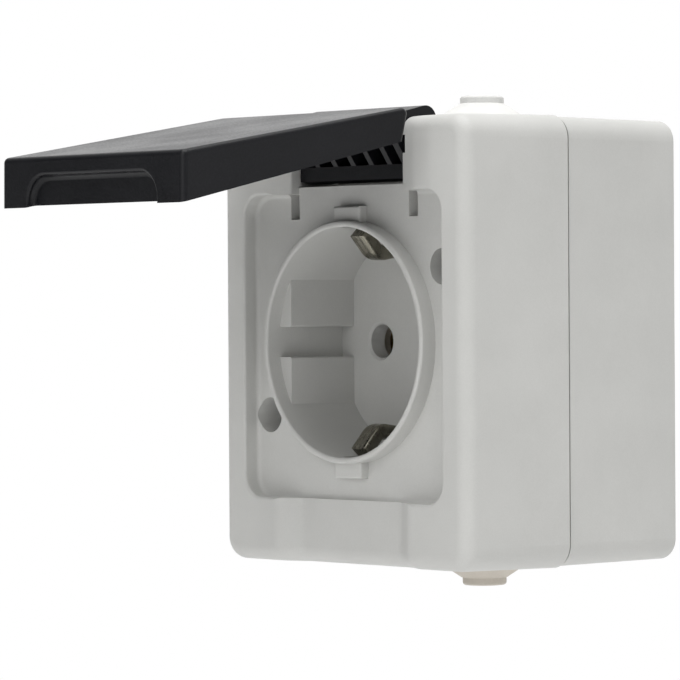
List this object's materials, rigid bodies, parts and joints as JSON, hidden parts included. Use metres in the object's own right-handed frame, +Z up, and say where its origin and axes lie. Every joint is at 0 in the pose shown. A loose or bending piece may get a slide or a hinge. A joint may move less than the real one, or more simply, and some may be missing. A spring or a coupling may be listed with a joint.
{
  "type": "weatherproof socket outlet",
  "caption": "Surface-mounted weatherproof earthed socket outlet: a grey case with a round plug cup, closed cable entries above and below, and a dark hinged lid that stands open.",
  "frame": {"origin": "centre of the flat back of the case, on the wall, level with the cup axis", "axes": "+X right seen from the front, +Y into the wall, +Z up"},
  "size_m": [0.0648, 0.1039, 0.0868],
  "materials": {
    "case_grey": "fine matt texture",
    "lid_dark": "fine satin texture",
    "seal_grey": "matt",
    "seal_dark": "matt",
    "grommet_white": "matt",
    "grommet_cream": "matt",
    "carrier_cream": "matt",
    "contact_brass": "stamped",
    "earth_nickel": "nickel plated",
    "spring_steel": "bright",
    "zinc_steel": "zinc plated"
  },
  "bodies": {
    "housing": {"rear_housing": "case_grey", "front_cover": "case_grey", "cover_seal": "seal_grey", "cover_screws": "zinc_steel", "screw_seals": "seal_grey", "entry_grommet_top": "grommet_white", "entry_grommet_bottom": "grommet_cream", "contact_carrier": "carrier_cream", "carrier_screws": "zinc_steel", "line_contact": "contact_brass", "neutral_contact": "contact_brass", "contact_springs": "spring_steel", "earth_bracket": "earth_nickel", "line_terminal": "contact_brass", "neutral_terminal": "contact_brass", "earth_terminal": "contact_brass", "terminal_screws": "zinc_steel"},
    "lid": {"lid": "lid_dark", "lid_seal": "seal_dark"}
  },
  "joints": [
    {"name": "lid_hinge", "type": "hinge", "parent": "housing", "child": "lid", "pos_m": [0, -0.0443, 0.0338], "axis": [1, 0, 0], "range_deg": [-18, 77.2]}
  ]
}
